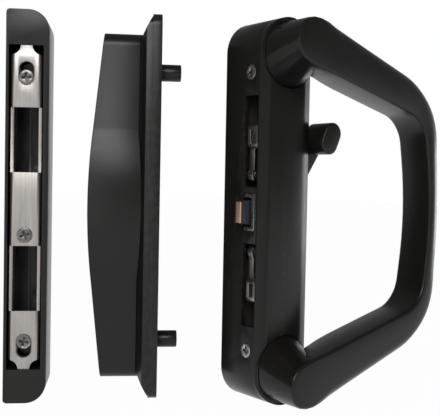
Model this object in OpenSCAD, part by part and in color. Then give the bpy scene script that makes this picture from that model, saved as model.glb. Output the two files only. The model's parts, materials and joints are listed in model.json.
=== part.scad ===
// Sliding door handle set: a surface double-hook lock with a D handle for the
// room side, a pull for the outer side and a keeper for the jamb.
// Millimetres, Z up. The origin is the centre of the lock's door face.
// The room is at -Y and the lock edge at -X.

/* [Lock housing] */
// width of the housing across the door face
housing_w = 36; // [30:0.5:44]
// height of the housing
housing_h = 206.6; // [190:0.2:240]
// depth from the door face to the cover seam
housing_d = 27; // [25:0.5:32]
// wall and floor thickness of the casting
housing_wall = 2.5; // [2:0.1:3]
// lower and upper end of the upper hook slot
upper_slot_low = 13.2; // [12:0.1:16]
upper_slot_high = 61.4; // [55:0.1:64]
// lower and upper end of the lower hook slot
lower_slot_low = -60.8; // [-64:0.1:-55]
lower_slot_high = -16.8; // [-20:0.1:-14]
// distance of a hook slot from the door face
slot_from_door = 16.4; // [15:0.1:18]

/* [Front cover] */
// height of the crown over the cover seam
cover_crown = 4.5; // [3:0.1:6]
// radius of the convex front
cover_radius = 48; // [40:1:80]

/* [D handle] */
// distance of a leg axis from the end of the housing
leg_inset = 17.8; // [17:0.1:24]
// radius of a leg where it meets the cover
leg_base_r = 17; // [14:0.1:17]
// radius of a leg at the front of the handle
leg_front_r = 11.1; // [9:0.1:13]
// projection of the handle from the door face
handle_front = 54; // [48:0.5:65]
// thickness of the bow, front to back
bow_t = 17.8; // [14:0.1:22]
// furthest point of the bow from the housing axis
bow_reach = 104; // [90:0.5:120]
// inner side of the bow at mid height
bow_inner = 92.2; // [80:0.1:104]

/* [Lock works] */
// height of the upper and of the lower hook pivot
upper_pivot_z = 19.8; // [18:0.1:22]
lower_pivot_z = -21.4; // [-24:0.1:-19]
// distance of both hook pivots from the housing axis
pivot_x = -12.4; // [-12.6:0.1:-10]
// length of a hook from its pivot
hook_reach = 26.7; // [22:0.1:32]
// height of the snib axis
snib_z = -0.6; // [-3:0.1:3]
// distance from the snib axis to the thumb knob
snib_reach = 48.5; // [46:0.1:54]
// angle of the snib lever above level, hooks in
snib_angle = 57.6; // [50:0.1:60]
// length of the knob along the lever, and its width
knob_l = 18; // [14:0.5:20]
knob_w = 12; // [10:0.5:12.5]
// reach of the anti-slam trigger out of the housing, and its travel
trigger_reach = 5.2; // [4:0.1:7]
trigger_travel = 5; // [4:0.1:6]

/* [Exterior pull] */
// height of the flange
flange_h = 216; // [200:1:240]
// width of the flange
flange_w = 47; // [44:0.5:54]
// thickness of the flange rim
rim_t = 5; // [3:0.1:6]
// level of the flat land that carries the grip
land_v = 11.8; // [9:0.1:13]
// height of the grip body
grip_h = 195.8; // [180:0.2:200]
// width of the grip body, and of its swell at mid height
grip_w = 29; // [26:0.5:32]
swell_w = 39.6; // [34:0.2:42]
// projection of the grip at mid height
grip_front = 40; // [34:0.1:46]
// spacing of the two fixing posts
post_pitch = 155.4; // [140:0.2:160]
// outside diameter and length of a post
post_d = 9.8; // [8:0.1:12]
post_l = 12; // [8:0.1:20]

/* [Keeper] */
// height of the keeper
keeper_h = 207.4; // [190:0.2:240]
// width of the keeper
keeper_w = 22.3; // [22:0.1:28]
// depth of the keeper
keeper_d = 25; // [20:0.5:30]
// width of the steel strike
strike_w = 16; // [14:0.1:18]
// sheet thickness of the strike
strike_t = 1.6; // [1.2:0.1:2]
// inner end of the upper and of the lower strike window
window_upper_low = 18.6; // [16:0.1:22]
window_lower_high = -20.2; // [-24:0.1:-16]
// distance of a window's outer end from the end of the keeper
window_inset = 51; // [48:0.1:56]

/* [Hidden] */
$fn = 64;
fit = 0.05;          // radial clearance of a pin in its hole
gap = 0.3;           // free gap between pieces that move past each other
seam = 0.1;          // side clearance of a piece in its seat

cavity_w = housing_w - 2 * housing_wall;
edge_x = -housing_w / 2;
wall_in = cavity_w / 2;
front_y0 = housing_d + cover_crown;
pad_v = 30;          // level of the flat seats under the handle legs
leg_x = 0.5;
leg_z = housing_h / 2 - leg_inset;
leg_long = 2.5;      // how much longer than wide a leg is at its base
crease_x = -2.35;
crease_z = leg_z + 3.4;
bow_back = handle_front - bow_t;

edge_screw_z = housing_h / 2 - 29.6;
edge_screw_v = 20.6;
m4_r = 2;
m5_r = 2.5;
m5_tap_r = 2.1;
bolt_clear_r = 2.75;

hook_v = [18.6, 22.6];        // plate of the upper hook
nose_v = [18.6, 26.6];        // its thick nose
low_hook_v = [19.7, 23.5];    // plate of the lower hook
low_nose_v = [19.7, 26.6];
nose_from = 13.4;             // the nose starts this far from the pivot
hub_r = 4.6;
pivot_r = 2;
case_v = [10, 12];            // back plate of the lock works
case_h = 128;
case_w = 30;
pillar_x = case_w / 2 - 6;
pillar_z = case_h / 2 - 7;

lever_v = [19, 22];
snib_hub_r = 6;
snib_pin_r = 2.5;
knob_v = [22, 38];
lever_flare = [28, 9];        // the lever widens to this at this distance from its axis
trig_z = [-6.7, 6.3];
trig_v = [16.2, 22];
tail_v = [14.4, 16.2];
trig_back = -13.8;
trig_nose = edge_x - trigger_reach;
tip_t = 1;
bracket_z = [-9.8, 9.6];
bracket_v = [17.4, 25.5];
bracket_t = 1.2;
spring_v = (case_v[1] + 18.6) / 2;
spring_r = 2;
spring_wire_r = 0.35;

pull_at = [-31, 45.9, 0.5];
pull_turn = -121.3;
dome_r = 47.1;
dome_crown = 14.3;   // where the dome's crown would be without the land
swell_h = 88.8;
bend_h = 84;         // height of the arc in the grip's front, seen from the side
grip_slope = 6;      // lean of the grip's straight ends
dome_end = 13.3;     // the dome slopes down to the rim over this length

keeper_at = [-99, 70.2, 0.1];
keeper_turn = -31.3;
keeper_wall_l = 2.4;
keeper_wall_r = 3.7;
pocket_x0 = -keeper_w / 2 + keeper_wall_l;
pocket_x1 = keeper_w / 2 - keeper_wall_r;
pocket_top = keeper_h / 2 - 18.5;
pocket_bottom = -keeper_h / 2 + 17.9;
keeper_floor = 2.5;
strike_face = keeper_d - 0.8;
strike_mid = (pocket_x0 + pocket_x1) / 2;
window_w = 12;
window_upper = [window_upper_low, keeper_h / 2 - window_inset];
window_lower = [window_inset - 2 - keeper_h / 2, window_lower_high];
screw_top_z = keeper_h / 2 - 35.4;
screw_middle_z = -14.5;
screw_bottom_z = 32.8 - keeper_h / 2;
slot_shift = 4.6;    // the end slots run on past their screws by this much
boss_w = 12;

black = "#2a2825";
steel = "#c9c5bd";
copper = "#c8957a";

// extrudes an X-Z outline forwards, from depth v0 to depth v1
module out(v0, v1) {
  translate([0, -v0, 0]) rotate([90, 0, 0]) linear_extrude(v1 - v0) children();
}

module stadium(w, h) {
  square([w, h - w], center = true);
  for (s = [-1, 1]) translate([0, s * (h - w) / 2]) circle(d = w, $fn = 128);
}

module round_rect(w, h, r) {
  square([w - 2 * r, h], center = true);
  square([w, h - 2 * r], center = true);
  for (sx = [-1, 1], sz = [-1, 1])
    translate([sx * (w / 2 - r), sz * (h / 2 - r)]) circle(r);
}

// a round rod along Y between two depths
module rod(x, z, r, v0, v1) {
  translate([x, -v0, z]) rotate([90, 0, 0]) cylinder(h = v1 - v0, r = r);
}

// a block between two corners: x range, depth range, z range
module block(x, v, z) {
  translate([x[0], -v[1], z[0]]) cube([x[1] - x[0], v[1] - v[0], z[1] - z[0]]);
}

// cross recess at the origin, cut towards -Z
module cross_cut(size, depth) {
  for (a = [0, 90]) rotate(a) translate([-size / 2, -size / 8, -depth])
    cube([size, size / 4, depth + 1]);
}

// countersunk screw, head face at the origin, shank towards -Z
module csk_screw(head_r, shank_r, length) {
  difference() {
    union() {
      translate([0, 0, -0.3]) cylinder(h = 0.3, r = head_r);
      translate([0, 0, -0.3 - (head_r - shank_r)])
        cylinder(h = head_r - shank_r, r1 = shank_r, r2 = head_r);
      translate([0, 0, -length]) cylinder(h = length - head_r + shank_r, r = shank_r);
    }
    cross_cut(head_r * 1.25, 1.6);
  }
}

// room for the screw above
module csk_room(head_r, shank_r, length) {
  translate([0, 0, -0.3]) cylinder(h = 2, r = head_r + fit);
  translate([0, 0, -0.3 - (head_r - shank_r)])
    cylinder(h = head_r - shank_r, r1 = shank_r + fit, r2 = head_r + fit);
  translate([0, 0, -length]) cylinder(h = length, r = shank_r + fit);
}

// lock housing

module edge_screw_at(s) {
  translate([edge_x - 0.05, -edge_screw_v, s * edge_screw_z]) rotate([0, -90, 0]) children();
}

module lock_housing() {
  lever_low = snib_z - lever_flare[0] * cos(snib_angle) - lever_flare[1] * sin(snib_angle) - 0.4;
  lever_high = snib_z + (wall_in + 2.5) * tan(snib_angle) + 11;
  color(black) difference() {
    out(0, housing_d) stadium(housing_w, housing_h);
    out(housing_wall, housing_d + 1)
      stadium(cavity_w, housing_h - 2 * housing_wall);
    block([edge_x - 1, -wall_in + 1], [slot_from_door, housing_d + 1],
      [upper_slot_low, upper_slot_high]);
    block([edge_x - 1, -wall_in + 1], [slot_from_door, housing_d + 1],
      [lower_slot_low, lower_slot_high]);
    block([edge_x - 1, -wall_in + 1], [trig_v[0] - gap, bracket_v[1] + seam],
      [bracket_z[0] - seam, bracket_z[1] + seam]);
    block([wall_in - 1, -edge_x + 1], [lever_v[0] - gap, lever_v[1] + gap],
      [lever_low, lever_high]);
    for (s = [-1, 1]) {
      edge_screw_at(s) csk_room(3.8, m4_r, 14);
      rod(0, s * post_pitch / 2, bolt_clear_r, -1, housing_wall + 1);
    }
  }
}

// front cover with its convex face and the lugs for the edge screws

module pad_outline(s) {
  translate([leg_x, s * (leg_z - leg_long / 2)])
    stadium(2 * leg_base_r + 0.8, 2 * leg_base_r + 0.8 + leg_long);
}

module front_cover() {
  color(black) difference() {
    union() {
      difference() {
        out(housing_d, front_y0 + 1) stadium(housing_w, housing_h);
        difference() {
          translate([-housing_w, -front_y0 - 2, -housing_h])
            cube([2 * housing_w, cover_crown + 1.99, 2 * housing_h]);
          translate([0, cover_radius - front_y0, -housing_h - 1])
            cylinder(h = 2 * housing_h + 2, r = cover_radius, $fn = 360);
        }
        for (s = [-1, 1]) out(pad_v, front_y0 + 2) pad_outline(s);
      }
      for (s = [-1, 1]) {
        out(housing_d, pad_v) pad_outline(s);
        block([-wall_in + gap, -4], [15.6, housing_d + 0.5],
          [s * edge_screw_z - 5, s * edge_screw_z + 5]);
      }
    }
    for (s = [-1, 1]) {
      edge_screw_at(s) translate([0, 0, -13]) cylinder(h = 12, r = m4_r + fit);
      rod(leg_x, s * leg_z, m5_r + 0.15, housing_d - 1, pad_v + 1);
    }
  }
}

// D handle: one lofted bow whose section changes along its path, on two legs.
// Each side of the bow is a straight arm, a corner arc and a shallow grip arc
// that meet tangentially; the arm length follows from those three.

// arm length L and half angle of the grip arc for one side of the bow
function arm_len(x0, z0, a, r, rg, xg) =
  let (p = (x0 - r * sin(a) - xg + rg) * cos(a) - (z0 - r * cos(a)) * sin(a),
    q = pow(x0 - r * sin(a) - xg + rg, 2) + pow(z0 - r * cos(a), 2) - pow(rg - r, 2))
  -p + sqrt(p * p - q);
function grip_half(x0, z0, a, r, rg, xg) =
  asin((z0 - arm_len(x0, z0, a, r, rg, xg) * sin(a) - r * cos(a)) / (rg - r));

arm_steps = 9;
corner_steps = 9;
grip_steps = 5;
head_steps = 6;

// point k of one side, counted from the leg to mid height
function side_pt(k, x0, z0, a, r, rg, xg) =
  let (L = arm_len(x0, z0, a, r, rg, xg), d = grip_half(x0, z0, a, r, rg, xg))
  k <= arm_steps ?
    [x0 + L * k / arm_steps * cos(a), z0 - L * k / arm_steps * sin(a)] :
  k <= arm_steps + corner_steps ?
    let (t = a + (90 - d - a) * (k - arm_steps) / corner_steps,
      cx = x0 + L * cos(a) - r * sin(a), cz = z0 - L * sin(a) - r * cos(a))
    [cx + r * sin(t), cz + r * cos(t)] :
  let (t = d * (1 - (k - arm_steps - corner_steps) / grip_steps))
    [xg - rg + rg * cos(t), rg * sin(t)];

inner_side = [-6.5, leg_z - 8.7, 14.7, 20, 190, bow_inner];
outer_side = [-1.6, leg_z + 17.3, 18.7, 44, 330, bow_reach];
head_a = 16.7;
head_r = leg_front_r + 1.7;
head_edge_r = 1.7;

function inner_pt(k) = side_pt(k, inner_side[0], inner_side[1], inner_side[2],
  inner_side[3], inner_side[4], inner_side[5]);
function outer_pt(k) = side_pt(k, outer_side[0], outer_side[1], outer_side[2],
  outer_side[3], outer_side[4], outer_side[5]);
// the arm widens from the round head to its full section over the first steps
function ease(k) = k >= 2 ? 1 : let (t = k / 2) t * t * (3 - 2 * t);
function head_pt(k, side) =
  let (step = 8.4 * k)
  [crease_x + step * cos(head_a) + side * head_r * sin(head_a),
    crease_z - step * sin(head_a) + side * head_r * cos(head_a)];
function bow_in(k) = ease(k) * inner_pt(k) + (1 - ease(k)) * head_pt(k, -1);
function bow_out(k) = ease(k) * outer_pt(k) + (1 - ease(k)) * head_pt(k, 1);

// stations of the upper half: inner point, outer point, front outer radius
bow_steps = arm_steps + corner_steps + grip_steps;
half_bow = concat(
  [for (j = [0 : head_steps - 1])
    let (t = 90 - 84 * cos(90 * j / head_steps) , c = head_r * sin(90 - t) * 0.9985,
      w = head_r * sin(acos(min(1, c / head_r))),
      px = crease_x - c * cos(head_a), pz = crease_z + c * sin(head_a))
    [[px - w * sin(head_a), pz - w * cos(head_a)],
      [px + w * sin(head_a), pz + w * cos(head_a)], head_edge_r]],
  [for (k = [0 : bow_steps])
    [bow_in(k), bow_out(k), head_edge_r + (8.3 - head_edge_r) * ease(k)]]);
half_n = len(half_bow);
bow = concat(half_bow, [for (i = [half_n - 2 : -1 : 0])
  [[half_bow[i][0][0], -half_bow[i][0][1]], [half_bow[i][1][0], -half_bow[i][1][1]],
    half_bow[i][2]]]);

// section between the inner side (0) and the outer side (w), rounded corners
function corner(cx, cy, r, a0, n) =
  [for (i = [0 : n]) let (a = a0 + 90 * i / n) [cx + r * cos(a), cy + r * sin(a)]];
function section(w, rf) =
  let (s = min(1, w / 11), ri = 1.5 * s, rb = 4 * s, ro = rf * s, t = bow_t)
  concat(corner(ri, ri, ri, 180, 3), corner(w - rb, rb, rb, 270, 5),
    corner(w - ro, t - ro, ro, 0, 8), corner(ri, t - ri, ri, 90, 3));

function bow_ring(st) =
  let (a = st[0], b = st[1], w = norm(b - a), d = (b - a) / w)
  [for (p = section(w, st[2])) [a[0] + d[0] * p[0], -(bow_back + p[1]), a[1] + d[1] * p[0]]];

// closed solid from rings of equal length
module loft(rings, flip = false) {
  n = len(rings[0]);
  m = len(rings);
  side = [for (i = [0 : m - 2], j = [0 : n - 1], h = [0, 1])
    let (a = i * n + j, b = i * n + (j + 1) % n, c = a + n, d = b + n)
    h == 0 ? [a, b, d] : [a, d, c]];
  ends = [[for (j = [n - 1 : -1 : 0]) j], [for (j = [0 : n - 1]) (m - 1) * n + j]];
  all = concat(side, ends);
  polyhedron([for (r = rings, p = r) p],
    flip ? [for (f = all) [for (i = [len(f) - 1 : -1 : 0]) f[i]]] : all, convexity = 8);
}

module leg(s) {
  hull() {
    for (dz = [0, leg_long]) {
      rod(leg_x, s * (leg_z - dz), leg_base_r - 0.6, pad_v, pad_v + 0.1);
      rod(leg_x, s * (leg_z - dz), leg_base_r, pad_v + 0.6, pad_v + 0.7);
    }
    rod(crease_x, s * crease_z, leg_front_r, handle_front - 0.4, handle_front - 0.3);
  }
}

module d_handle() {
  color(black) difference() {
    union() {
      loft([for (st = bow) bow_ring(st)], true);
      for (s = [-1, 1]) leg(s);
    }
    for (s = [-1, 1]) rod(leg_x, s * leg_z, m5_r + fit, pad_v - 1, pad_v + 13);
  }
}

module handle_screw(s) {
  color(steel) difference() {
    union() {
      rod(leg_x, s * leg_z, m5_r, housing_d - 0.01, pad_v + 12);
      rod(leg_x, s * leg_z, 4.5, housing_d - 3, housing_d);
    }
    translate([leg_x, -housing_d + 3, s * leg_z]) rotate([-90, 0, 0]) cross_cut(5, 1.6);
  }
}
module handle_screw_upper() { handle_screw(1); }
module handle_screw_lower() { handle_screw(-1); }

module edge_screw(s) {
  color(steel) edge_screw_at(s) csk_screw(3.8, m4_r, 12);
}
module edge_screw_upper() { edge_screw(1); }
module edge_screw_lower() { edge_screw(-1); }

// lock works

module lock_case() {
  color(steel) difference() {
    union() {
      out(case_v[0], case_v[1]) round_rect(case_w, case_h, 3);
      for (sx = [-1, 1], sz = [-1, 1])
        rod(sx * pillar_x, sz * pillar_z, 3.5, housing_wall, case_v[0]);
    }
    rod(pivot_x, upper_pivot_z, pivot_r + fit, case_v[0] - 1, case_v[1] + 1);
    rod(pivot_x, lower_pivot_z, pivot_r + fit, case_v[0] - 1, case_v[1] + 1);
    rod(0, snib_z, snib_pin_r + fit, case_v[0] - 1, case_v[1] + 1);
  }
}

module hook_pivot(z, v, head_v) {
  color(steel) {
    rod(pivot_x, z, pivot_r, case_v[0], v[1] + gap + 0.01);
    rod(pivot_x, z, 2.8, case_v[1], v[0] - gap);
    rod(pivot_x, z, 2.6, v[1] + gap, head_v);
  }
}
module upper_pivot() { hook_pivot(upper_pivot_z, hook_v, 26.7); }
module lower_pivot() { hook_pivot(lower_pivot_z, low_hook_v, 26.2); }

// hook at rest: plate upwards from its pivot, nose towards the lock edge
module hook_outline() {
  circle(hub_r);
  translate([-3.6, 0]) square([8.2, hook_reach - 3]);
  translate([1.6, hook_reach - 3]) circle(3);
  translate([-0.6, hook_reach - 3]) circle(3);
  translate([-0.6, hook_reach - 5]) square([2.2, 5]);
  hook_nose();
}
module hook_nose() {
  x = edge_x + 0.4 - pivot_x;
  translate([x, nose_from + 3]) square([2.6 - x, hook_reach - nose_from - 6]);
  translate([x + 3, nose_from]) square([-x - 0.4, hook_reach - nose_from]);
  translate([x + 3, nose_from + 3]) circle(3);
  translate([x + 3, hook_reach - 3]) circle(3);
}

module hook(z, plate, nose, up) {
  color(steel) translate([pivot_x, 0, z]) scale([1, 1, up]) difference() {
    union() {
      out(plate[0], plate[1]) hook_outline();
      out(nose[0], nose[1]) hook_nose();
    }
    out(plate[0] - 1, plate[1] + 1) circle(pivot_r + fit);
    block([-8, -3.6], [nose[0] + 2.2, nose[1] - 1.8], [nose_from + 2.8, hook_reach - 3.2]);
  }
}
module upper_hook() { hook(upper_pivot_z, hook_v, nose_v, 1); }
module lower_hook() { hook(lower_pivot_z, low_hook_v, low_nose_v, -1); }

// snib

module snib_pivot() {
  color(steel) {
    rod(0, snib_z, snib_pin_r, case_v[0], lever_v[1] + gap + 0.01);
    rod(0, snib_z, 4.2, lever_v[1] + gap, 24);
  }
}

module snib_frame() { translate([0, 0, snib_z]) rotate([0, -snib_angle, 0]) children(); }

module snib_lever() {
  color(black) snib_frame() difference() {
    out(lever_v[0], lever_v[1]) {
      circle(snib_hub_r);
      polygon([[0, -snib_hub_r], [lever_flare[0], -lever_flare[1]],
        [snib_reach - 4, -lever_flare[1] - 0.6], [snib_reach, -5.2],
        [snib_reach, 5.2], [0, snib_hub_r]]);
      translate([snib_reach, 0]) circle(5.2);
    }
    out(lever_v[0] - 1, lever_v[1] + 1) circle(snib_pin_r + fit);
  }
}

module snib_collar() {
  color(steel) difference() {
    rod(0, snib_z, snib_hub_r - 1, tail_v[1] + 0.4, lever_v[0]);
    rod(0, snib_z, snib_pin_r + fit, tail_v[1] - 1, lever_v[0] + 1);
  }
}

module snib_knob() {
  color(black) snib_frame() translate([snib_reach, 0, 0]) rotate([0, -8, 0])
    out(knob_v[0], knob_v[1]) rotate(90) stadium(knob_w, knob_l);
}

// anti-slam trigger, sprung outwards through the lock edge

module trigger_body() {
  zc = (trig_z[0] + trig_z[1]) / 2;
  color(black) difference() {
    union() {
      out(trig_v[0], trig_v[1]) polygon([[trig_back, trig_z[0]], [edge_x, trig_z[0]],
        [trig_nose + tip_t, zc - 5.8], [trig_nose + tip_t, zc + 5.8],
        [edge_x, trig_z[1]], [trig_back, trig_z[1]]]);
      block([-15, 5], tail_v, [zc - 5.6, zc + 5.6]);
    }
    block([-trigger_travel, 0], [tail_v[0] - 1, tail_v[1] + 1],
      [snib_z - snib_pin_r - gap, snib_z + snib_pin_r + gap]);
    rod(0, snib_z, snib_pin_r + gap, tail_v[0] - 1, tail_v[1] + 1);
    rod(-trigger_travel, snib_z, snib_pin_r + gap, tail_v[0] - 1, tail_v[1]);
  }
}

module trigger_tip() {
  zc = (trig_z[0] + trig_z[1]) / 2;
  color(copper) block([trig_nose, trig_nose + tip_t], [trig_v[0] + 0.2, trig_v[1] - 0.2],
    [zc - 5.6, zc + 5.6]);
}

module trigger_spring() {
  x0 = 5 + spring_wire_r;
  x1 = wall_in - spring_wire_r;
  turns = 4;
  n = 14;
  color(steel) loft([for (i = [0 : turns * n])
    let (a = 360 * i / n, x = x0 + (x1 - x0) * i / (turns * n))
    [for (j = [0 : 5]) let (b = 60 * j, r = spring_r + spring_wire_r * cos(b))
      [x + spring_wire_r * sin(b), -spring_v - r * cos(a), snib_z + r * sin(a)]]], true);
}

module trigger_bracket() {
  color(steel) {
    difference() {
      union() {
        block([edge_x - 0.1, -wall_in], bracket_v, bracket_z);
        block([-wall_in, -wall_in + bracket_t], [case_v[1], bracket_v[1]],
          [bracket_z[0] - 2, bracket_z[1] + 2]);
      }
      block([edge_x - 1, -wall_in + bracket_t + 1], [0, bracket_v[1] - bracket_t],
        [bracket_z[0] + bracket_t, bracket_z[1] - bracket_t]);
    }
  }
}

// exterior pull

module at_pull() { translate(pull_at) rotate([0, 0, pull_turn]) children(); }

// the dome in front of the flange: a shallow barrel with a flat land and sloping ends
module pull_dome() {
  top = flange_h / 2 - 1;
  intersection() {
    translate([0, dome_r - dome_crown, -top]) cylinder(h = 2 * top, r = dome_r, $fn = 256);
    translate([-flange_w / 2, 0, 0]) rotate([90, 0, 90]) linear_extrude(flange_w)
      polygon([[0, -top], [-rim_t, -top], [-land_v, dome_end - top],
        [-land_v, top - dome_end], [-rim_t, top], [0, top]]);
    out(0, land_v + 1) round_rect(flange_w - 2, flange_h - 2, 6);
  }
}

module pull_flange() {
  color(black) at_pull() {
    out(0, rim_t) round_rect(flange_w, flange_h, 7);
    pull_dome();
  }
}

// grip: straight leaning ends and a long arc between them, seen from the side
module grip_profile() {
  end = grip_h / 2 + 1;
  r = bend_h / 2 / sin(grip_slope);
  tip = r * (1 - cos(grip_slope)) + (end - bend_h / 2) * tan(grip_slope) - grip_front;
  steps = 10;
  polygon(concat([[0, -end], [tip, -end]],
    [for (i = [-steps : steps]) let (t = grip_slope * i / steps)
      [r * (1 - cos(t)) - grip_front, r * sin(t)]],
    [[tip, end], [0, end]]));
}

module pull_grip() {
  side_r = (pow(swell_h / 2, 2) + pow((swell_w - grip_w) / 2, 2)) / (swell_w - grip_w);
  color(black) at_pull() difference() {
    intersection() {
      out(rim_t + 1, grip_front + 1) {
        round_rect(grip_w, grip_h, 7.5);
        intersection() {
          translate([swell_w / 2 - side_r, 0]) circle(side_r, $fn = 720);
          translate([side_r - swell_w / 2, 0]) circle(side_r, $fn = 720);
          square([2 * grip_w, swell_h + 8], center = true);
        }
      }
      translate([-flange_w, 0, 0]) rotate([90, 0, 90]) linear_extrude(2 * flange_w)
        grip_profile();
    }
    pull_dome();
  }
}

module pull_post(s) {
  color(black) at_pull() difference() {
    rod(0, s * post_pitch / 2, post_d / 2, -post_l, 0);
    rod(0, s * post_pitch / 2, m5_tap_r, -post_l - 1, -1);
  }
}
module pull_post_upper() { pull_post(1); }
module pull_post_lower() { pull_post(-1); }

// keeper

module at_keeper() { translate(keeper_at) rotate([0, 0, keeper_turn]) children(); }

module keeper_outline() {
  w = keeper_w / 2;
  h = keeper_h / 2;
  difference() {
    translate([-w, -h]) square([keeper_w, keeper_h]);
    for (s = [-1, 1]) {
      difference() {
        translate([w - 11, s > 0 ? h - 11 : -h - 1]) square([12, 12]);
        translate([w - 11, s * (h - 11)]) circle(11);
      }
      difference() {
        translate([-w - 1, s > 0 ? h - 2 : -h - 1]) square([3, 3]);
        translate([-w + 2, s * (h - 2)]) circle(2);
      }
    }
  }
}

// boss under the strike, from z0 to z1
module keeper_boss(z0, z1) {
  block([strike_mid - boss_w / 2, strike_mid + boss_w / 2],
    [keeper_floor, strike_face - strike_t], [z0, z1]);
}

module keeper_housing() {
  under = strike_face - strike_t;
  color(black) at_keeper() difference() {
    union() {
      difference() {
        out(0, keeper_d) keeper_outline();
        block([pocket_x0, pocket_x1], [keeper_floor, keeper_d + 1],
          [pocket_bottom, pocket_top]);
      }
      keeper_boss(screw_top_z - 10, screw_top_z + 10);
      keeper_boss(window_lower[1] + 1.5, window_upper[0] - 4);
      keeper_boss(screw_bottom_z - 9.5, screw_bottom_z + 10.5);
      // thin web along the floor of each window
      for (w = [window_upper, window_lower])
        block([strike_mid - 0.6, strike_mid + 0.6], [keeper_floor, keeper_floor + 1],
          [w[0] - 6, w[1] + 6]);
    }
    for (z = [screw_top_z, screw_middle_z, screw_bottom_z]) {
      rod(strike_mid, z, m4_r + fit, under - 11, under + 1);
      rod(strike_mid, z, 2.7, under - 0.7, under + 1);
    }
    // round ejector marks in the floor
    for (w = [window_upper, window_lower])
      rod(strike_mid + 3.4, w[0] + 5, 2, keeper_floor - 0.4, keeper_floor + 1);
  }
}

// strike: a channel of bent sheet, open to the back
module strike_section() {
  w = strike_w / 2;
  r = strike_t + 0.5;
  difference() {
    union() {
      translate([-w, -strike_face + r]) square([strike_w, 9.6 - r]);
      translate([-w + r, -strike_face]) square([strike_w - 2 * r, 3]);
      for (s = [-1, 1]) translate([s * (w - r), -strike_face + r]) circle(r);
    }
    translate([-w + strike_t, -strike_face + r]) square([strike_w - 2 * strike_t, 12]);
    translate([-w + r, -strike_face + strike_t]) square([strike_w - 2 * r, 3]);
    for (s = [-1, 1]) translate([s * (w - r), -strike_face + r]) circle(r - strike_t);
  }
}

module csk_slot(z0, z1) {
  at = -strike_face;
  hull() for (z = [z0, z1]) translate([0, at, z]) rotate([90, 0, 0])
    translate([0, 0, -2]) cylinder(h = 2.5, r1 = m4_r + 0.2, r2 = 4.64, $fn = 40);
  hull() for (z = [z0, z1]) translate([0, at, z]) rotate([90, 0, 0])
    translate([0, 0, -4]) cylinder(h = 3, r = m4_r + 0.2, $fn = 40);
}

module strike_plate() {
  top = pocket_top - seam;
  bottom = pocket_bottom + seam;
  color(steel) at_keeper() translate([strike_mid, 0, 0]) difference() {
    translate([0, 0, bottom]) linear_extrude(top - bottom) strike_section();
    for (w = [window_upper, window_lower])
      block([-window_w / 2, window_w / 2], [strike_face - 3, strike_face + 1], w);
    // shoulders beside the tongue at each end
    for (sx = [-1, 1]) {
      rod(sx * (strike_w / 2), top, strike_w / 2 - 3, 10, strike_face + 1);
      rod(sx * (strike_w / 2), bottom, strike_w / 2 - 3, 10, strike_face + 1);
    }
    csk_slot(screw_top_z, screw_top_z + slot_shift);
    csk_slot(screw_bottom_z - slot_shift, screw_bottom_z);
    translate([0, -strike_face, screw_middle_z]) rotate([90, 0, 0]) {
      translate([0, 0, -2]) cylinder(h = 2, r1 = m4_r + 0.2, r2 = 4.15);
      translate([0, 0, -4]) cylinder(h = 3, r = m4_r + 0.2);
    }
  }
}

module keeper_screw(z, turn) {
  color(steel) at_keeper() translate([strike_mid, -strike_face - 0.05, z])
    rotate([90, 0, 0]) rotate(turn) csk_screw(3.85, m4_r, 12);
}
module keeper_screw_top() { keeper_screw(screw_top_z, 8); }
module keeper_screw_middle() { keeper_screw(screw_middle_z, 20); }
module keeper_screw_bottom() { keeper_screw(screw_bottom_z, -12); }

lock_housing();
front_cover();
d_handle();
lock_case();
snib_pivot();
upper_pivot();
lower_pivot();
upper_hook();
lower_hook();
snib_lever();
snib_collar();
snib_knob();
trigger_body();
trigger_tip();
trigger_spring();
trigger_bracket();
edge_screw_upper();
edge_screw_lower();
handle_screw_upper();
handle_screw_lower();
pull_flange();
pull_grip();
pull_post_upper();
pull_post_lower();
keeper_housing();
strike_plate();
keeper_screw_top();
keeper_screw_middle();
keeper_screw_bottom();
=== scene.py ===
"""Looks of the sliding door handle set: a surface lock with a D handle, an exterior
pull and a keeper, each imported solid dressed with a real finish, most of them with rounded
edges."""

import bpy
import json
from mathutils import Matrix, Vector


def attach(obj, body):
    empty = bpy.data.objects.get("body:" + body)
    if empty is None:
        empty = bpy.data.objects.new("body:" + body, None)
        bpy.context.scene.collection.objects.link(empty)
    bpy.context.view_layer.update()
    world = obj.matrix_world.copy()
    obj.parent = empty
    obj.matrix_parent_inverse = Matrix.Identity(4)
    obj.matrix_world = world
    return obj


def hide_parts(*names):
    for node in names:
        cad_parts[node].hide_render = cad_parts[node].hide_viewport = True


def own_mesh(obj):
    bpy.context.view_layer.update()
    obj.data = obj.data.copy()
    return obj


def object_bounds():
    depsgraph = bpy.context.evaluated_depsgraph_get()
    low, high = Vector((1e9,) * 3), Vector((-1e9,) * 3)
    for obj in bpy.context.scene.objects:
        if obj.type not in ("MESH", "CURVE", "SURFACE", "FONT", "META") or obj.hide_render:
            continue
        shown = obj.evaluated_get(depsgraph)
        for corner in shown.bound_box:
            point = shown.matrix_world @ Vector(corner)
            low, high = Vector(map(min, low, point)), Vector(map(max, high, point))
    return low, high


bl_info = {
    "name": "Sliding door handle set",
    "version": (1, 0, 0),
    "blender": (4, 5, 0),
    "location": "View3D > Sidebar > Handle set",
    "description": "Finishes, rounded pieces and studio of a sliding door handle set",
    "category": "Object",
}

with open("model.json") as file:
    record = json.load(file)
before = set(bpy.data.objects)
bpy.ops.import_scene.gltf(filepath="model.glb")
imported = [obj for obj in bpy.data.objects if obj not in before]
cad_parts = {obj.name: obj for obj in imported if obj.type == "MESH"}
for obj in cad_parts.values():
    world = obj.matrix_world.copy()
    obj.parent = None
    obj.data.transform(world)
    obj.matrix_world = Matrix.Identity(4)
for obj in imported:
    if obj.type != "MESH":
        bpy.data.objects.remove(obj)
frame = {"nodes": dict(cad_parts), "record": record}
CAD_BOX = [list(corner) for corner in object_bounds()]

import json
import math

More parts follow.
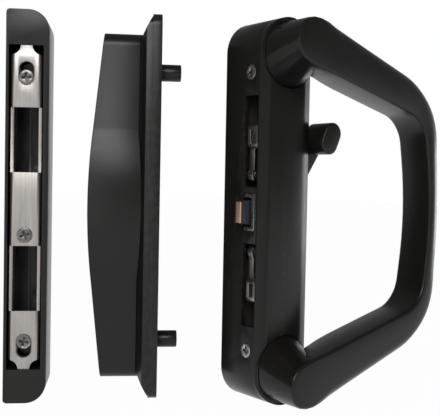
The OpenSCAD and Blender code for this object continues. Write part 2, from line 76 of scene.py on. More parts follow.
import bpy
from mathutils import Matrix, Vector

NODES = frame["nodes"]
BODY_OF = {
    node: body
    for body, members in frame["record"]["behaviour"]["bodies"].items()
    for node in members
}

# The values from here to the studio are in millimetres. Depth is measured from the door.

# the cage that reshapes the D handle: its corners and its points along X, Y and Z
CAGE_BOX = ((-30, -75, -115), (110, 0, 115))
CAGE_POINTS = (29, 2, 47)
# an arm's inner and outer side, each as its height at X = 0 and its slope along X
ARM_INNER_SIDE = (74, -0.31)
ARM_OUTER_SIDE = (92, -0.38)
# how far the outer side moves out at each X
OUTER_SHIFT = ((-30, -0.4), (-14, -0.8), (-7, -1.4), (0, -1.7), (6, -0.2), (12, 1.3), (200, 1.1))
# the bow: its front, its depth, how much deeper it gets and from which X on
HANDLE_FRONT = 54
BOW_DEPTH = 20
BOW_DEEPER = 4
BOW_START = (8, 24)
# the bow's outer corners: their height, reach and shift, and from which X on
CORNER_Z = 56
CORNER_REACH = 22
CORNER_SHIFT = 1.3
CORNER_START = (82, 94)

# the hollow in each hook's nose: along X, then each hook's spans of depth and Z
HOLLOW_X = (-20.4, -13.0)
HOLLOWS = {
    "upper_hook": ((20.8, 24.8), (36.0, 43.3)),
    "lower_hook": ((21.7, 24.9), (-44.9, -37.6)),
}
# bars of the trigger's bracket as spans of depth and Z: upper, lower and upright
BRACKET_BARS = (
    ((17.5, 25.4), (7.7, 9.5)),
    ((17.5, 25.4), (-9.7, -7.9)),
    ((23.2, 25.4), (-9.7, 9.5)),
)
# the part of the trigger's end plate that is cut off, as spans of X, depth and Z
TIP_CUT = ((-40, 0), (20.5, 30), (-20, 20))

# keeper: the pocket and the two strips that widen it beside the strike
POCKET_Z = (-85.8, 85.2)
POCKET_STRIPS = ((-9.6, -8.6), (7.3, 8.2))
POCKET_DEPTH = (4, 26)
# the strike's middle, the width and depth of its windows, and their spans along Z
STRIKE_MIDDLE = -0.65
WINDOW_X = (-9.6, 8.4)
WINDOW_DEPTH = (22.1, 26)
WINDOWS_Z = ((18.6, 52.7), (-54.7, -20.2))
# the end slots through the strike and the hollows behind them: height, radius and depth
STRIKE_SLOTS = ((72.9, -75.5), 3.7, (21, 26))
SLOT_HOLLOWS = ((73.4, -76.0), 3.3, (14, 24))

# place in millimetres and turn about Z of each item's own frame
ITEMS = {
    "lock": ((0, 0, 0), 0.0),
    "keeper": ((-99, 70.2, 0.1), math.radians(-31.3)),
}


# studio: the share of the floor's own shading that shows its shadow, and the lamps as
# name, place, size and power
SHADOW_SHARE = 0.025
LAMPS = (
    ("key", (-0.72, -0.78, 0.62), 0.55, 7),
    ("low fill", (-0.95, -0.55, -0.15), 0.7, 1.6),
    ("right fill", (1.05, -0.2, -0.15), 0.5, 5.5),
)

# properties


class HandleSetFinish(bpy.types.PropertyGroup):
    """Colours and surface values of the finishes"""

    coat_colour: bpy.props.FloatVectorProperty(
        name="Black coat",
        description="Colour of the painted castings",
        subtype="COLOR",
        size=3,
        min=0,
        max=1,
        default=(0.0085, 0.0079, 0.0072),
    )
    coat_roughness: bpy.props.FloatProperty(
        name="Coat roughness",
        description="How soft the paint's reflections are",
        default=0.3,
        min=0.05,
        max=1,
        subtype="FACTOR",
    )
    steel_colour: bpy.props.FloatVectorProperty(
        name="Steel",
        description="Colour of the strike, the hooks and the screws",
        subtype="COLOR",
        size=3,
        min=0,
        max=1,
        default=(0.40, 0.375, 0.352),
    )
    copper_colour: bpy.props.FloatVectorProperty(
        name="Copper plate",
        description="Colour of the trigger's end plate",
        subtype="COLOR",
        size=3,
        min=0,
        max=1,
        default=(0.66, 0.42, 0.30),
    )
    trigger_colour: bpy.props.FloatVectorProperty(
        name="Trigger",
        description="Colour of the moulded trigger",
        subtype="COLOR",
        size=3,
        min=0,
        max=1,
        default=(0.014, 0.016, 0.024),
    )


class HandleSetEdges(bpy.types.PropertyGroup):
    """Radii of the rounded edges"""

    casting: bpy.props.FloatProperty(
        name="Casting edge",
        description="Edge radius of the painted castings",
        default=0.0006,
        min=0.0001,
        max=0.002,
        unit="LENGTH",
    )
    grip: bpy.props.FloatProperty(
        name="Grip edge",
        description="Edge radius of the exterior pull's grip",
        default=0.0016,
        min=0.0002,
        max=0.004,
        unit="LENGTH",
    )
    sheet: bpy.props.FloatProperty(
        name="Sheet edge",
        description="Edge radius of sheet steel and small steel pieces",
        default=0.00025,
        min=0.00005,
        max=0.001,
        unit="LENGTH",
    )


class HandleSetStage(bpy.types.PropertyGroup):
    """Camera and studio"""

    camera_place: bpy.props.FloatVectorProperty(
        name="Camera place",
        description="Where the camera stands",
        size=3,
        subtype="TRANSLATION",
        unit="LENGTH",
        default=(-0.2898, -0.3451, 0.0164),
    )
    camera_heading: bpy.props.FloatProperty(
        name="Heading",
        description="Turn of the camera about the vertical",
        default=math.radians(-37.93),
        subtype="ANGLE",
        unit="ROTATION",
    )
    camera_pitch: bpy.props.FloatProperty(
        name="Pitch",
        description="Camera angle below the horizon",
        default=math.radians(1.97),
        subtype="ANGLE",
        unit="ROTATION",
    )
    camera_roll: bpy.props.FloatProperty(
        name="Roll",
        description="Camera turn about its own axis",
        default=math.radians(1.11),
        subtype="ANGLE",
        unit="ROTATION",
    )
    room_light: bpy.props.FloatProperty(
        name="Room light",
        description="Strength of the light from all round",
        default=0.35,
        min=0,
        max=2,
    )
    room_dark: bpy.props.FloatProperty(
        name="Room dark",
        description="What gloss mirrors away from the backdrop, where 1 is white",
        default=0.18,
        min=0,
        max=1,
        subtype="FACTOR",
    )
    backdrop_side: bpy.props.FloatVectorProperty(
        name="Backdrop side",
        description="Direction of the white backdrop seen from above",
        size=2,
        default=(0.83, 0.56),
    )
    lens: bpy.props.FloatProperty(
        name="Lens",
        description="Focal length on a 36 mm wide sensor",
        default=65.45,
        min=20,
        max=200,
        unit="CAMERA",
    )


def finish():
    return bpy.context.scene.handle_set_finish


def edges():
    return bpy.context.scene.handle_set_edges


# node groups


def new_group(name, inputs, outputs):
    """A shader node group with the named sockets; returns it and its two end nodes."""
    group = bpy.data.node_groups.new(name, "ShaderNodeTree")
    for label, kind, value in inputs:
        socket = group.interface.new_socket(name=label, in_out="INPUT", socket_type=kind)
        if value is not None:
            socket.default_value = value
    for label, kind in outputs:
        group.interface.new_socket(name=label, in_out="OUTPUT", socket_type=kind)
    entry = group.nodes.new("NodeGroupInput")
    leave = group.nodes.new("NodeGroupOutput")
    return group, entry, leave


def noise(tree, vector, scale, detail=3.0, rough=0.55):
    node = tree.nodes.new("ShaderNodeTexNoise")
    node.inputs["Detail"].default_value = detail
    node.inputs["Roughness"].default_value = rough
    tree.links.new(vector, node.inputs["Vector"])
    if hasattr(scale, "links"):
        tree.links.new(scale, node.inputs["Scale"])
    else:
        node.inputs["Scale"].default_value = scale
    return node.outputs["Fac"]


def math_node(tree, operation, a, b=None, clamp=False):
    node = tree.nodes.new("ShaderNodeMath")
    node.operation = operation
    node.use_clamp = clamp
    for socket, value in zip(node.inputs, (a, b)):
        if value is None:
            continue
        if hasattr(value, "links"):
            tree.links.new(value, socket)
        else:
            socket.default_value = value
    return node.outputs[0]


def ramp(tree, value, low, high, start=0.0, end=1.0):
    node = tree.nodes.new("ShaderNodeMapRange")
    node.inputs["From Min"].default_value = low
    node.inputs["From Max"].default_value = high
    node.inputs["To Min"].default_value = start
    node.inputs["To Max"].default_value = end
    tree.links.new(value, node.inputs["Value"])
    return node.outputs["Result"]


def mix_colour(tree, factor, a, b):
    node = tree.nodes.new("ShaderNodeMix")
    node.data_type = "RGBA"
    tree.links.new(factor, node.inputs["Factor"])
    for name, value in (("A", a), ("B", b)):
        socket = [s for s in node.inputs if s.name == name and s.type == "RGBA"][0]
        if hasattr(value, "links"):
            tree.links.new(value, socket)
        else:
            socket.default_value = (*value, 1)
    return [s for s in node.outputs if s.type == "RGBA"][0]


def paint_peel_group():
    """Fine orange peel and cloudy tone of a baked paint."""
    group, entry, leave = new_group(
        "paint peel",
        [
            ("Vector", "NodeSocketVector", None),
            ("Peel scale", "NodeSocketFloat", 900.0),
            ("Cloud scale", "NodeSocketFloat", 40.0),
        ],
        [("Height", "NodeSocketFloat"), ("Cloud", "NodeSocketFloat")],
    )
    vector = entry.outputs["Vector"]
    peel = noise(group, vector, entry.outputs["Peel scale"], 2.0, 0.5)
    cloud = noise(group, vector, entry.outputs["Cloud scale"], 4.0, 0.6)
    group.links.new(peel, leave.inputs["Height"])
    group.links.new(cloud, leave.inputs["Cloud"])
    return group


def edge_rub_group():
    """A mask of the edges that hands and cloths rub bright, broken up by noise."""
    group, entry, leave = new_group(
        "edge rub",
        [("Vector", "NodeSocketVector", None), ("Grain scale", "NodeSocketFloat", 300.0)],
        [("Mask", "NodeSocketFloat")],
    )
    geometry = group.nodes.new("ShaderNodeNewGeometry")
    sharp = ramp(group, geometry.outputs["Pointiness"], 0.53, 0.62)
    grain = noise(group, entry.outputs["Vector"], entry.outputs["Grain scale"], 4.0, 0.6)
    broken = ramp(group, grain, 0.42, 0.62)
    group.links.new(math_node(group, "MULTIPLY", sharp, broken, True), leave.inputs["Mask"])
    return group


def recess_shade_and_grime_group():
    """A mask of the inner corners, where painted shade and grime darken them."""
    group, entry, leave = new_group(
        "recess shade and grime",
        [("Vector", "NodeSocketVector", None), ("Grain scale", "NodeSocketFloat", 400.0)],
        [("Mask", "NodeSocketFloat")],
    )
    geometry = group.nodes.new("ShaderNodeNewGeometry")
    # the inner corners by pointiness: painted shade there, together with grime
    deep = ramp(group, geometry.outputs["Pointiness"], 0.492, 0.44)
    grain = noise(group, entry.outputs["Vector"], entry.outputs["Grain scale"], 3.0, 0.6)
    uneven = ramp(group, grain, 0.3, 0.6, 0.75, 1.0)
    group.links.new(math_node(group, "MULTIPLY", deep, uneven, True), leave.inputs["Mask"])
    return group


def rolled_grain_group():
    """Long fine lines along Z, as rolled or brushed sheet has, with a soft stain."""
    group, entry, leave = new_group(
        "rolled grain",
        [
            ("Vector", "NodeSocketVector", None),
            ("Line scale", "NodeSocketFloat", 2600.0),
            ("Stretch", "NodeSocketFloat", 0.03),
        ],
        [("Line", "NodeSocketFloat"), ("Stain", "NodeSocketFloat")],
    )
    parts = group.nodes.new("ShaderNodeSeparateXYZ")
    joined = group.nodes.new("ShaderNodeCombineXYZ")
    group.links.new(entry.outputs["Vector"], parts.inputs[0])
    for axis in "XY":
        group.links.new(parts.outputs[axis], joined.inputs[axis])
    stretched = math_node(group, "MULTIPLY", parts.outputs["Z"], entry.outputs["Stretch"])
    group.links.new(stretched, joined.inputs["Z"])
    line = noise(group, joined.outputs[0], entry.outputs["Line scale"], 3.0, 0.6)
    stain = noise(group, entry.outputs["Vector"], 70.0, 4.0, 0.6)
    group.links.new(line, leave.inputs["Line"])
    group.links.new(stain, leave.inputs["Stain"])
    return group


GROUP_MAKERS = {
    "paint peel": paint_peel_group,
    "edge rub": edge_rub_group,
    "recess shade and grime": recess_shade_and_grime_group,
    "rolled grain": rolled_grain_group,
}


def use_group(tree, name, vector, **values):
    node = tree.nodes.new("ShaderNodeGroup")
    node.node_tree = bpy.data.node_groups.get(name) or GROUP_MAKERS[name]()
    tree.links.new(vector, node.inputs["Vector"])
    for label, value in values.items():
        node.inputs[label.replace("_", " ")].default_value = value
    return node


# materials


# colours of paint and metal where hands rub them, and the painted shade and grime of their inner
# corners
RUBBED_PAINT = (0.11, 0.107, 0.103)
RUBBED_PLATE = (0.7, 0.68, 0.65)
SHEET_SHADE_AND_GRIME = (0.03, 0.028, 0.026)
PLATE_SHADE_AND_GRIME = (0.012, 0.011, 0.01)


def shade(colour, share):
    return [channel * share for channel in colour]


def scaled(tree, value, factor, offset):
    """The value times a factor, plus an offset."""
    result = math_node(tree, "MULTIPLY_ADD", value, factor)
    result.node.inputs[2].default_value = offset
    return result


def new_material(name):
    """An empty material with its shader and the object coordinates."""
    material = bpy.data.materials.new(name)
    material.use_nodes = True
    tree = material.node_tree
    shader = tree.nodes["Principled BSDF"]
    place = tree.nodes.new("ShaderNodeTexCoord").outputs["Object"]
    return material, tree, shader, place


def bump(tree, shader, height, distance, strength=1.0):
    node = tree.nodes.new("ShaderNodeBump")
    node.inputs["Strength"].default_value = strength
    node.inputs["Distance"].default_value = distance
    tree.links.new(height, node.inputs["Height"])
    tree.links.new(node.outputs["Normal"], shader.inputs["Normal"])


def material_for(name):
    return bpy.data.materials.get(name) or MATERIAL_MAKERS[name]()


def black_coat():
    """Satin black paint on die castings."""
    material, tree, shader, place = new_material("black coat")
    colour = finish().coat_colour
    peel = use_group(tree, "paint peel", place, Peel_scale=700.0, Cloud_scale=35.0)
    rub = use_group(tree, "edge rub", place, Grain_scale=260.0)
    cloud = ramp(tree, peel.outputs["Cloud"], 0.35, 0.7)
    tone = mix_colour(tree, cloud, shade(colour, 0.94), shade(colour, 1.08))
    worn = math_node(tree, "MULTIPLY", rub.outputs["Mask"], 0.1)
    tone = mix_colour(tree, worn, tone, RUBBED_PAINT)
    tree.links.new(tone, shader.inputs["Base Color"])
    spread = 0.03
    rough = scaled(tree, cloud, spread, finish().coat_roughness - spread / 2)
    tree.links.new(rough, shader.inputs["Roughness"])
    shader.inputs["Specular IOR Level"].default_value = 0.3
    bump(tree, shader, peel.outputs["Height"], 0.00003, 0.2)
    return material


def rolled_steel():
    """Sheet steel with rolling lines along its length."""
    material, tree, shader, place = new_material("rolled steel")
    colour = finish().steel_colour
    grain = use_group(tree, "rolled grain", place, Line_scale=900.0, Stretch=0.02)
    shade_and_grime = use_group(tree, "recess shade and grime", place, Grain_scale=300.0)
    streak = ramp(tree, grain.outputs["Line"], 0.35, 0.7)
    tone = mix_colour(tree, streak, colour, shade(colour, 0.82))
    # inner corners darkened: painted shade, together with grime
    tone = mix_colour(tree, shade_and_grime.outputs["Mask"], tone, SHEET_SHADE_AND_GRIME)
    tree.links.new(tone, shader.inputs["Base Color"])
    shader.inputs["Metallic"].default_value = 0.9
    rough = scaled(tree, grain.outputs["Stain"], 0.16, 0.24)
    tree.links.new(rough, shader.inputs["Roughness"])
    bump(tree, shader, grain.outputs["Line"], 0.00002, 0.2)
    return material


def plated(name, share):
    """Zinc plate at a share of the steel's brightness, with painted shade and grime in its
    recesses.
    """
    material, tree, shader, place = new_material(name)
    colour = shade(finish().steel_colour, share)
    peel = use_group(tree, "paint peel", place, Peel_scale=1500.0, Cloud_scale=120.0)
    rub = use_group(tree, "edge rub", place, Grain_scale=600.0)
    shade_and_grime = use_group(tree, "recess shade and grime", place, Grain_scale=700.0)
    cloud = ramp(tree, peel.outputs["Cloud"], 0.3, 0.7)
    tone = mix_colour(tree, cloud, colour, shade(colour, 0.82))
    tone = mix_colour(tree, rub.outputs["Mask"], tone, RUBBED_PLATE)
    # inner corners darkened: painted shade, together with grime
    tone = mix_colour(tree, shade_and_grime.outputs["Mask"], tone, PLATE_SHADE_AND_GRIME)
    tree.links.new(tone, shader.inputs["Base Color"])
    shader.inputs["Metallic"].default_value = 1.0
    rough = scaled(tree, cloud, 0.12, 0.24)
    tree.links.new(rough, shader.inputs["Roughness"])
    bump(tree, shader, peel.outputs["Height"], 0.00002, 0.3)
    return material


def plated_steel():
    """Bright plate of the hooks, the lock's screws and the spring."""
    return plated("plated steel", 1.0)


def worn_plate():
    """Dull plate of the pivots and the keeper's screws."""
    return plated("worn plate", 0.42)


def moulded_black():
    """Dense black plastic with a faint mould texture."""
    material, tree, shader, place = new_material("moulded black")
    colour = finish().trigger_colour
    peel = use_group(tree, "paint peel", place, Peel_scale=1800.0, Cloud_scale=90.0)
    cloud = ramp(tree, peel.outputs["Cloud"], 0.3, 0.7)
    tone = mix_colour(tree, cloud, colour, shade(colour, 1.4))
    tree.links.new(tone, shader.inputs["Base Color"])
    shader.inputs["Roughness"].default_value = 0.45
    bump(tree, shader, peel.outputs["Height"], 0.00003, 0.4)
    return material


def copper_plate():
    """The copper-coloured end plate of the trigger."""
    material, tree, shader, place = new_material("copper plate")
    colour = finish().copper_colour
    grain = use_group(tree, "rolled grain", place, Line_scale=3000.0, Stretch=0.05)
    stain = ramp(tree, grain.outputs["Stain"], 0.3, 0.75)
    tone = mix_colour(tree, stain, colour, shade(colour, 0.8))
    tree.links.new(tone, shader.inputs["Base Color"])
    shader.inputs["Metallic"].default_value = 0.75
    shader.inputs["Roughness"].default_value = 0.42
    bump(tree, shader, grain.outputs["Line"], 0.00002, 0.3)
    return material


MATERIAL_MAKERS = {
    "black coat": black_coat,
    "rolled steel": rolled_steel,
    "plated steel": plated_steel,
    "worn plate": worn_plate,
    "moulded black": moulded_black,
    "copper plate": copper_plate,
}


# modelling


def deselect():
    if bpy.context.object and bpy.context.object.mode != "OBJECT":
        bpy.ops.object.mode_set(mode="OBJECT")
    bpy.ops.object.select_all(action="DESELECT")


def pick(obj):
    deselect()
    obj.select_set(True)
    bpy.context.view_layer.objects.active = obj


def dress(obj, material, node=None, body=None):
    """Gives a new piece its material and its body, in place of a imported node."""
    obj.data.materials.clear()
    obj.data.materials.append(material_for(material))
    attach(obj, body or BODY_OF[node])
    if node:
        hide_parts(node)


def merged_copy(node, name, join_flat=True):
    """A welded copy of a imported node, with its flat faces joined up if asked."""
    source = NODES[node]
    mesh = source.data.copy()
    mesh.name = name
    piece = bpy.data.objects.new(name, mesh)
    bpy.context.scene.collection.objects.link(piece)
    pick(piece)
    bpy.ops.object.mode_set(mode="EDIT")
    bpy.ops.mesh.select_all(action="SELECT")
    bpy.ops.mesh.remove_doubles(threshold=0.000002)
    if join_flat:
        bpy.ops.mesh.dissolve_limited(angle_limit=math.radians(0.6))
    bpy.ops.object.mode_set(mode="OBJECT")
    if mesh.has_custom_normals:
        bpy.ops.mesh.customdata_custom_splitnormals_clear()
    return piece


def round_edges(piece, radius, segments=3, angle=32):
    """Rounds every edge sharper than the angle."""
    pick(piece)
    bevel = piece.modifiers.new("rounded edges", "BEVEL")
    bevel.width = radius
    bevel.segments = segments
    bevel.limit_method = "ANGLE"
    bevel.angle_limit = math.radians(angle)
    bevel.harden_normals = False
    bpy.ops.object.modifier_apply(modifier=bevel.name)
    bpy.ops.object.shade_smooth_by_angle(angle=math.radians(34))


def share(value, low, high):
    """How far the value has come from low to high, kept within 0 and 1."""
    return min(1, max(0, (value - low) / (high - low)))


def place_of(item, x, v, z):
    """World place of a point given in millimetres in an item's own frame; v is its depth."""
    at, turn = ITEMS[item]
    return (Matrix.Rotation(turn, 3, "Z") @ Vector((x, -v, z)) + Vector(at)) / 1000


def block(item, x, v, z):
    """A plain block from its spans in an item's own frame."""
    deselect()
    middle = [(span[0] + span[1]) / 2 for span in (x, v, z)]
    bpy.ops.mesh.primitive_cube_add(
        size=1,
        location=place_of(item, *middle),
        rotation=(0, 0, ITEMS[item][1]),
        scale=[(span[1] - span[0]) / 1000 for span in (x, v, z)],
    )
    return bpy.context.object


def rod(item, x, z, radius, v):
    """A rod that lies along an item's depth."""
    deselect()
    bpy.ops.mesh.primitive_cylinder_add(
        vertices=48,
        radius=radius / 1000,
        depth=(v[1] - v[0]) / 1000,
        location=place_of(item, x, (v[0] + v[1]) / 2, z),
        rotation=(math.pi / 2, 0, ITEMS[item][1]),
    )
    return bpy.context.object


def combine(piece, tool, operation="DIFFERENCE"):
    """Cuts the tool out of the piece, or joins it on, and clears it away."""
    pick(piece)
    boolean = piece.modifiers.new("cut", "BOOLEAN")
    boolean.operation = operation
    boolean.solver = "EXACT"
    boolean.object = tool
    bpy.ops.object.modifier_apply(modifier=boolean.name)
    bpy.data.objects.remove(tool)


def rounded_piece(node, material, radius, segments=3, angle=32):
    """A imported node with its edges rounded, shown in the node's place."""
    piece = merged_copy(node, node + "_finished")
    round_edges(piece, radius, segments, angle)
    dress(piece, material, node)
    return piece


def coated_node(node, material):
    """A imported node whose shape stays, with its finish."""
    obj = NODES[node]
    obj.data.materials.clear()
    obj.data.materials.append(material_for(material))
    return obj


# operators


class HANDLESET_OT_lock_shell(bpy.types.Operator):
    """Housing and front cover of the lock"""

    bl_idname = "handleset.lock_shell"
    bl_label = "Lock housing and cover"

    def execute(self, context):
        rounded_piece("lock_housing", "black coat", edges().casting)
        rounded_piece("front_cover", "black coat", edges().casting * 0.7)
        return {"FINISHED"}


class HANDLESET_OT_d_handle(bpy.types.Operator):
    """D handle with its two legs"""

    bl_idname = "handleset.d_handle"
    bl_label = "D handle"

    def execute(self, context):
        piece = merged_copy("d_handle", "d_handle_finished", join_flat=False)
        self.bend_outer_side(piece)
        pick(piece)
        bpy.ops.object.shade_smooth_by_angle(angle=math.radians(34))
        dress(piece, "black coat", "d_handle")
        return {"FINISHED"}

    def bend_outer_side(self, piece):
        """Moves the outer side of both arms and bow corners, and deepens the bow, by a cage."""
        low, high = CAGE_BOX
        cage_data = bpy.data.lattices.new("handle cage")
        cage_data.points_u, cage_data.points_v, cage_data.points_w = CAGE_POINTS
        cage_data.interpolation_type_v = "KEY_LINEAR"
        cage = bpy.data.objects.new("handle cage", cage_data)
        bpy.context.scene.collection.objects.link(cage)
        places = [point.co.copy() for point in cage_data.points]
        spans = [max(p[i] for p in places) - min(p[i] for p in places) for i in range(3)]
        scale = [(b - a) / 1000 / span for a, b, span in zip(low, high, spans)]
        middle = [(b + a) / 2000 for a, b in zip(low, high)]
        cage.location, cage.scale = middle, scale
        for point, place in zip(cage_data.points, places):
            x, y, z = (1000 * (middle[i] + place[i] * scale[i]) for i in range(3))
            inner, outer = (at + slope * x for at, slope in (ARM_INNER_SIDE, ARM_OUTER_SIDE))
            rise = self.shift_at(x) * share(abs(z), inner, outer) * (1 if z > 0 else -1)
            corner = max(0, 1 - ((abs(z) - CORNER_Z) / CORNER_REACH) ** 2)
            deeper = BOW_DEEPER * (HANDLE_FRONT + y) / BOW_DEPTH * share(x, *BOW_START)
            shift = (CORNER_SHIFT * corner * share(x, *CORNER_START), deeper, rise)
            point.co_deform = place + Vector([move / 1000 / k for move, k in zip(shift, scale)])
        pick(piece)
        bend = piece.modifiers.new("cage", "LATTICE")
        bend.object = cage
        bpy.ops.object.modifier_apply(modifier=bend.name)
        bpy.data.objects.remove(cage)

    def shift_at(self, x):
        """The outer side's shift at X, between the table's rows."""
        for (x0, d0), (x1, d1) in zip(OUTER_SHIFT, OUTER_SHIFT[1:]):
            if x <= x1:
                return d0 + (d1 - d0) * max(0, (x - x0) / (x1 - x0))
        return 0


class HANDLESET_OT_lock_works(bpy.types.Operator):
    """Hooks, pivots and back plate of the lock"""

    bl_idname = "handleset.lock_works"
    bl_label = "Lock works"

    def execute(self, context):
        for node, (v, z) in HOLLOWS.items():
            hook = merged_copy(node, node + "_finished")
            combine(hook, block("lock", HOLLOW_X, v, z))
            round_edges(hook, edges().sheet * 1.4)
            dress(hook, "plated steel", node)
        for node in ("upper_pivot", "lower_pivot", "snib_pivot"):
            rounded_piece(node, "worn plate", edges().sheet)
        self.bracket()
        coated_node("lock_case", "rolled steel")
        return {"FINISHED"}

    def bracket(self):
        """The frame around the trigger, with bars of their full width."""
        piece = merged_copy("trigger_bracket", "trigger_bracket_finished")
        inset = 0.05
        xs = [vertex.co.x * 1000 for vertex in piece.data.vertices]
        span = (min(xs) + inset, max(xs) - inset)
        for v, z in BRACKET_BARS:
            combine(piece, block("lock", span, v, z), "UNION")
        round_edges(piece, edges().sheet)
        dress(piece, "plated steel", "trigger_bracket")


class HANDLESET_OT_snib(bpy.types.Operator):
    """Thumb lever with its knob"""

    bl_idname = "handleset.snib"
    bl_label = "Snib"

    def execute(self, context):
        rounded_piece("snib_lever", "black coat", edges().casting * 0.6)
        rounded_piece("snib_knob", "black coat", edges().casting * 1.6, 4)
        rounded_piece("snib_collar", "plated steel", edges().sheet)
        return {"FINISHED"}


class HANDLESET_OT_trigger(bpy.types.Operator):
    """Sprung trigger in the lock edge"""

    bl_idname = "handleset.trigger"
    bl_label = "Trigger"

    def execute(self, context):
        rounded_piece("trigger_body", "moulded black", edges().sheet * 1.6)
        tip = merged_copy("trigger_tip", "trigger_tip_finished")
        combine(tip, block("lock", *TIP_CUT))
        round_edges(tip, edges().sheet * 1.4)
        dress(tip, "copper plate", "trigger_tip")
        spring = merged_copy("trigger_spring", "trigger_spring_finished", join_flat=False)
        bpy.ops.object.shade_smooth_by_angle(angle=math.radians(65))
        dress(spring, "plated steel", "trigger_spring")
        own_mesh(spring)
        return {"FINISHED"}


class HANDLESET_OT_screws(bpy.types.Operator):
    """All screws of the set"""

    bl_idname = "handleset.screws"
    bl_label = "Screws"

    def execute(self, context):
        for node in NODES:
            if "screw" in node:
                plate = "worn plate" if node.startswith("keeper") else "plated steel"
                rounded_piece(node, plate, edges().sheet * 0.6, 2)
        return {"FINISHED"}


class HANDLESET_OT_pull(bpy.types.Operator):
    """Exterior pull: flange, grip and posts"""

    bl_idname = "handleset.pull"
    bl_label = "Exterior pull"

    def execute(self, context):
        rounded_piece("pull_flange", "black coat", edges().casting, angle=24)
        rounded_piece("pull_grip", "black coat", edges().grip, 4)
        for node in ("pull_post_upper", "pull_post_lower"):
            rounded_piece(node, "black coat", edges().casting)
        return {"FINISHED"}


class HANDLESET_OT_keeper(bpy.types.Operator):
    """Keeper casting and its steel strike"""

    bl_idname = "handleset.keeper"
    bl_label = "Keeper"

    def execute(self, context):
        casting = merged_copy("keeper_housing", "keeper_housing_finished")
        for x in POCKET_STRIPS:
            combine(casting, block("keeper", x, POCKET_DEPTH, POCKET_Z))
        self.bore(casting, *SLOT_HOLLOWS)
        round_edges(casting, edges().casting)
        dress(casting, "black coat", "keeper_housing")
        strike = merged_copy("strike_plate", "strike_plate_finished")
        for z in WINDOWS_Z:
            combine(strike, block("keeper", WINDOW_X, WINDOW_DEPTH, z))
        self.bore(strike, *STRIKE_SLOTS)
        round_edges(strike, edges().sheet)
        dress(strike, "rolled steel", "strike_plate")
        return {"FINISHED"}

    def bore(self, piece, heights, radius, v):
        for z in heights:
            combine(piece, rod("keeper", STRIKE_MIDDLE, z, radius, v))


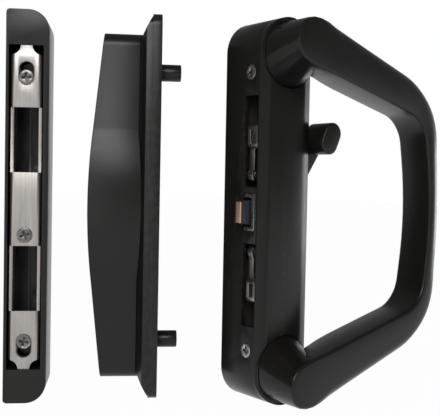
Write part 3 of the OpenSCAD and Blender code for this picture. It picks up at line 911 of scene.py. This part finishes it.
class HANDLESET_OT_stage(bpy.types.Operator):
    """White studio, lamps and the camera"""

    bl_idname = "handleset.stage"
    bl_label = "Studio"

    def execute(self, context):
        stage = context.scene.handle_set_stage
        self.floor()
        self.world(context, stage)
        self.lamps()
        self.camera(context, stage)
        context.scene.view_settings.view_transform = "Standard"
        return {"FINISHED"}

    def either(self, tree, path, first, second):
        """1 for a ray of either kind."""
        return math_node(tree, "MAXIMUM", path.outputs[first], path.outputs[second])

    def floor(self):
        deselect()
        low = CAD_BOX[0][2]
        bpy.ops.mesh.primitive_plane_add(size=8, location=(0, 0, low - 0.0005))
        floor = bpy.context.object
        floor.name = "studio_floor"
        material = bpy.data.materials.new("white floor")
        material.use_nodes = True
        tree = material.node_tree
        shader = tree.nodes["Principled BSDF"]
        shader.inputs["Base Color"].default_value = (0.85, 0.85, 0.85, 1)
        shader.inputs["Roughness"].default_value = 0.9
        glow = tree.nodes.new("ShaderNodeEmission")
        glow.inputs["Color"].default_value = (1, 1, 1, 1)
        mix = tree.nodes.new("ShaderNodeMixShader")
        path = tree.nodes.new("ShaderNodeLightPath")
        mirrored = self.either(tree, path, "Is Glossy Ray", "Is Transmission Ray")
        shown = math_node(tree, "MAXIMUM", path.outputs["Is Camera Ray"], mirrored)
        seen = math_node(tree, "MULTIPLY", shown, 1 - SHADOW_SHARE)
        tree.links.new(seen, mix.inputs[0])
        tree.links.new(shader.outputs[0], mix.inputs[1])
        tree.links.new(glow.outputs[0], mix.inputs[2])
        tree.links.new(mix.outputs[0], tree.nodes["Material Output"].inputs["Surface"])
        floor.data.materials.append(material)

    def world(self, context, stage):
        """Soft grey light all round; mirrored rays find the white backdrop on one side."""
        world = bpy.data.worlds.new("white studio")
        world.use_nodes = True
        tree = world.node_tree
        path = tree.nodes.new("ShaderNodeLightPath")
        room = tree.nodes["Background"]
        room.inputs["Color"].default_value = (1, 1, 1, 1)
        room.inputs["Strength"].default_value = stage.room_light
        backdrop = tree.nodes.new("ShaderNodeBackground")
        backdrop.inputs["Color"].default_value = (1, 1, 1, 1)
        facing = tree.nodes.new("ShaderNodeVectorMath")
        facing.operation = "DOT_PRODUCT"
        facing.inputs[1].default_value = (*stage.backdrop_side, 0)
        direction = tree.nodes.new("ShaderNodeTexCoord").outputs["Generated"]
        tree.links.new(direction, facing.inputs[0])
        side = ramp(tree, facing.outputs["Value"], 0.35, 0.9)
        height = tree.nodes.new("ShaderNodeSeparateXYZ")
        tree.links.new(direction, height.inputs[0])
        level = ramp(tree, height.outputs["Z"], 0.5, 0.2)
        both = math_node(tree, "MULTIPLY", side, level)
        reach = ramp(tree, both, 0, 1, stage.room_dark, 1.0)
        tree.links.new(reach, backdrop.inputs["Strength"])
        seen = tree.nodes.new("ShaderNodeBackground")
        seen.inputs["Color"].default_value = (1, 1, 1, 1)
        bright = self.either(tree, path, "Is Camera Ray", "Is Transmission Ray")
        surface = room
        for part, factor in ((backdrop, path.outputs["Is Glossy Ray"]), (seen, bright)):
            mix = tree.nodes.new("ShaderNodeMixShader")
            tree.links.new(factor, mix.inputs[0])
            tree.links.new(surface.outputs[0], mix.inputs[1])
            tree.links.new(part.outputs[0], mix.inputs[2])
            surface = mix
        tree.links.new(surface.outputs[0], tree.nodes["World Output"].inputs["Surface"])
        context.scene.world = world

    def lamps(self):
        for name, place, size, power in LAMPS:
            light = bpy.data.lights.new(name, "AREA")
            light.size = size
            light.energy = power
            lamp = bpy.data.objects.new(name, light)
            lamp.location = place
            aim = Vector((0, 0, 0)) - Vector(place)
            lamp.rotation_euler = aim.to_track_quat("-Z", "Y").to_euler()
            bpy.context.scene.collection.objects.link(lamp)

    def camera(self, context, stage):
        data = bpy.data.cameras.new("photo camera")
        data.sensor_fit = "HORIZONTAL"
        data.sensor_width = 36
        data.lens = stage.lens
        data.clip_start = 0.01
        camera = bpy.data.objects.new("photo camera", data)
        turn = (
            Matrix.Rotation(stage.camera_heading, 4, "Z")
            @ Matrix.Rotation(math.pi / 2 - stage.camera_pitch, 4, "X")
            @ Matrix.Rotation(stage.camera_roll, 4, "Z")
        )
        camera.matrix_world = Matrix.Translation(Vector(stage.camera_place)) @ turn
        context.scene.collection.objects.link(camera)
        context.scene.camera = camera


OPERATORS = (
    HANDLESET_OT_lock_shell,
    HANDLESET_OT_d_handle,
    HANDLESET_OT_lock_works,
    HANDLESET_OT_snib,
    HANDLESET_OT_trigger,
    HANDLESET_OT_screws,
    HANDLESET_OT_pull,
    HANDLESET_OT_keeper,
    HANDLESET_OT_stage,
)


class HANDLESET_PT_panel(bpy.types.Panel):
    """Lists the pieces of the handle set"""

    bl_idname = "HANDLESET_PT_panel"
    bl_label = "Handle set"
    bl_space_type = "VIEW_3D"
    bl_region_type = "UI"
    bl_category = "Handle set"

    def draw(self, context):
        for settings in SETTINGS:
            group = getattr(context.scene, settings)
            for key in group.bl_rna.properties.keys():
                if key not in ("rna_type", "name"):
                    self.layout.prop(group, key)
        for operator in OPERATORS:
            self.layout.operator(operator.bl_idname)


SETTINGS = {
    "handle_set_finish": HandleSetFinish,
    "handle_set_edges": HandleSetEdges,
    "handle_set_stage": HandleSetStage,
}
CLASSES = (*SETTINGS.values(), *OPERATORS, HANDLESET_PT_panel)


def register():
    for cls in CLASSES:
        bpy.utils.register_class(cls)
    for name, cls in SETTINGS.items():
        setattr(bpy.types.Scene, name, bpy.props.PointerProperty(type=cls))


def unregister():
    for name in SETTINGS:
        delattr(bpy.types.Scene, name)
    for cls in reversed(CLASSES):
        bpy.utils.unregister_class(cls)


def main():
    register()
    for operator in OPERATORS:
        group, name = operator.bl_idname.split(".")
        getattr(getattr(bpy.ops, group), name)()


if __name__ == "__main__":
    main()
